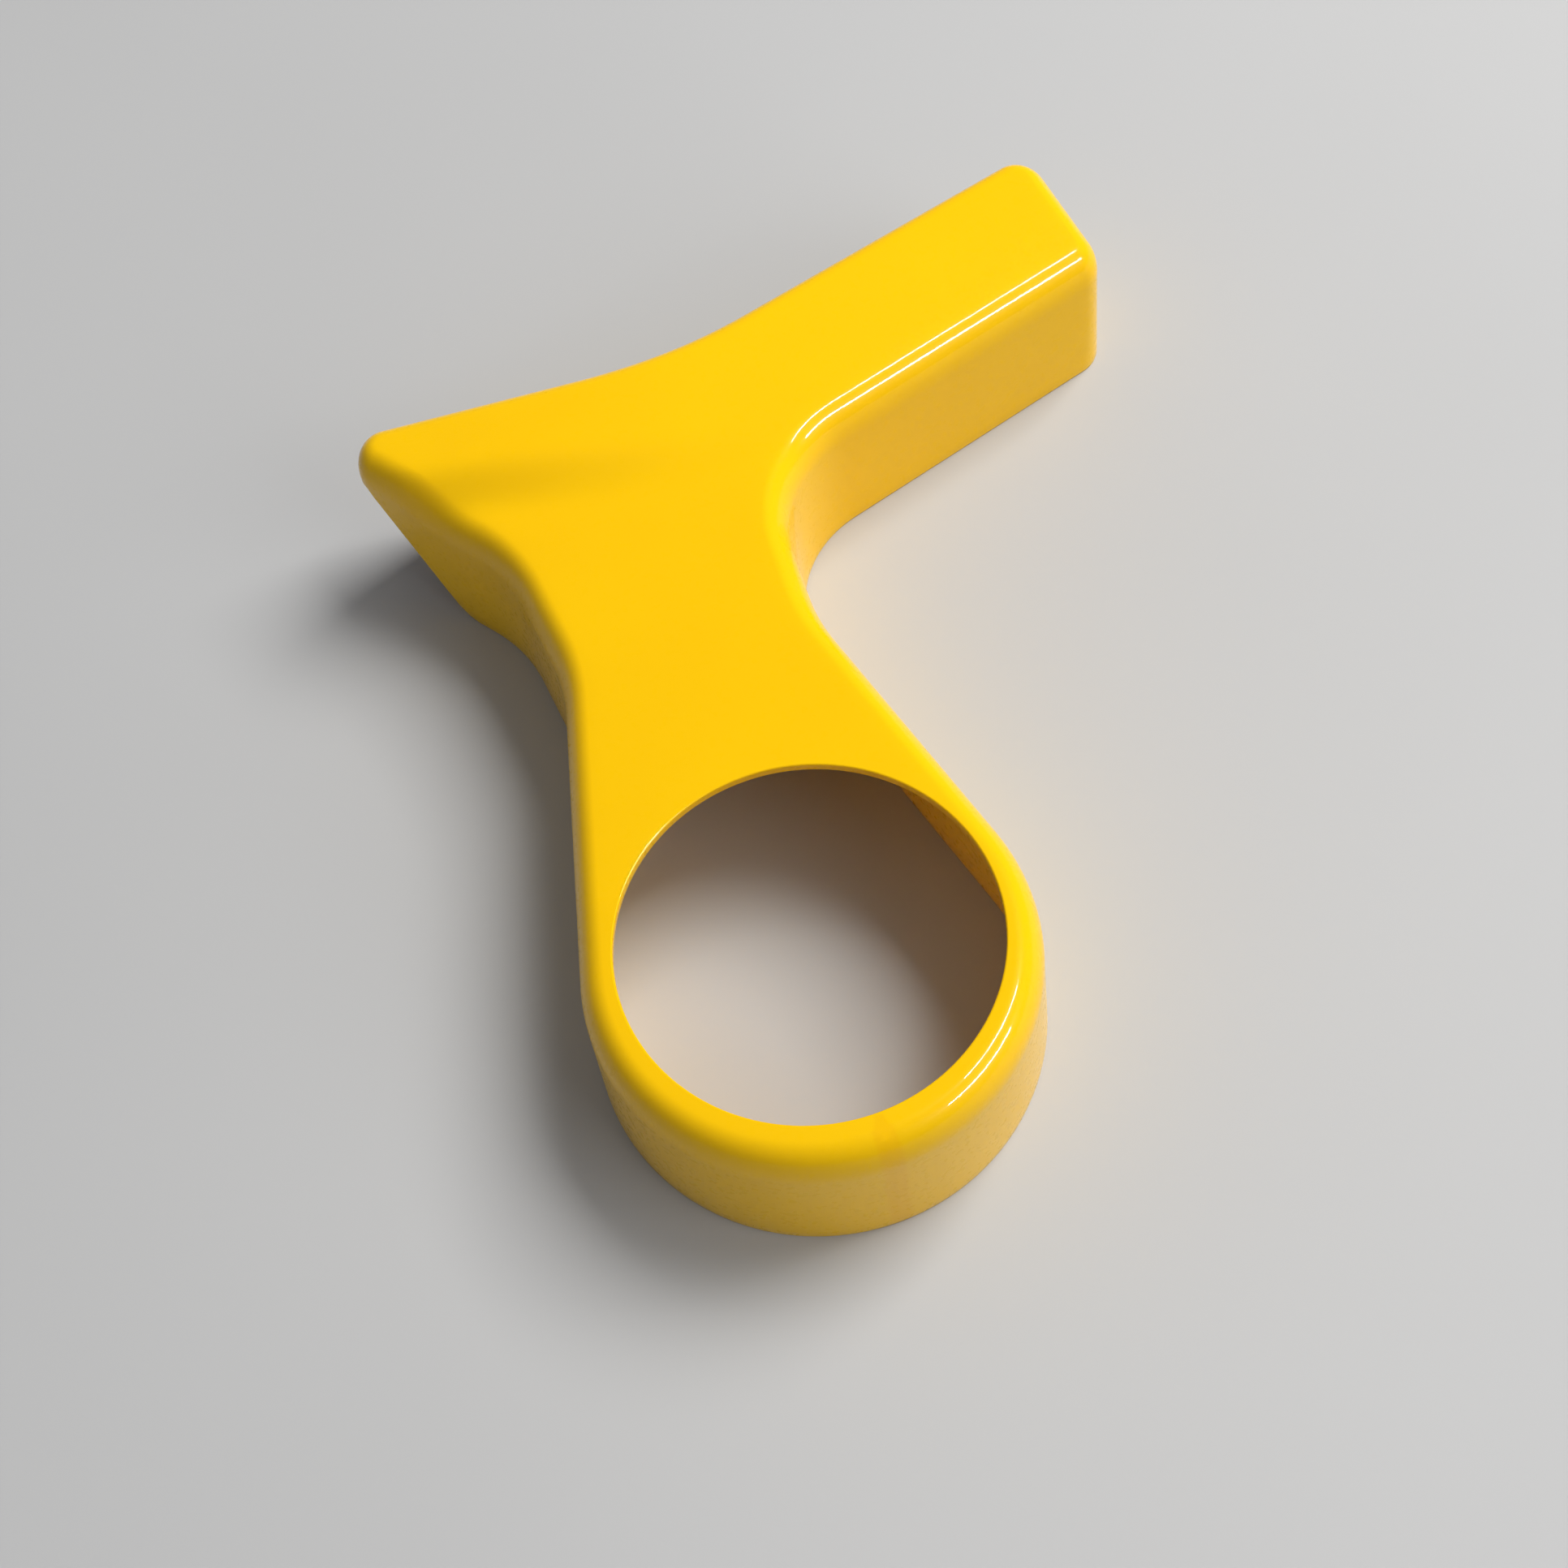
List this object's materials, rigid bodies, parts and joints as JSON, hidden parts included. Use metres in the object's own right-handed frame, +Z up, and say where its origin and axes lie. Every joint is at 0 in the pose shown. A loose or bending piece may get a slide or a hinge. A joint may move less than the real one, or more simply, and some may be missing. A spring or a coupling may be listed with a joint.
{
  "type": "gauge pod trim cover",
  "caption": "Thin painted trim cover, hollow below: a ring with a round opening for a gauge, a flat neck, and a raised crossbar with one long arm and one tapering wing.",
  "frame": {"origin": "centre of the plan's bounding box, on the plane of the lower rim", "axes": "+Z up along the opening's axis, out of the visible face; +Y from the ring along the neck to the crossbar; +X towards the long arm"},
  "size_m": [0.1147, 0.1732, 0.029],
  "materials": {
    "yellow_paint": "gloss clear coat over yellow paint",
    "brass": "machined",
    "foam": "matte closed-cell foam"
  },
  "bodies": {
    "root": {"cover_shell": "yellow_paint", "insert_wing": "brass", "insert_root": "brass", "insert_arm": "brass", "foam_neck": "foam", "foam_bar": "foam"}
  },
  "joints": []
}
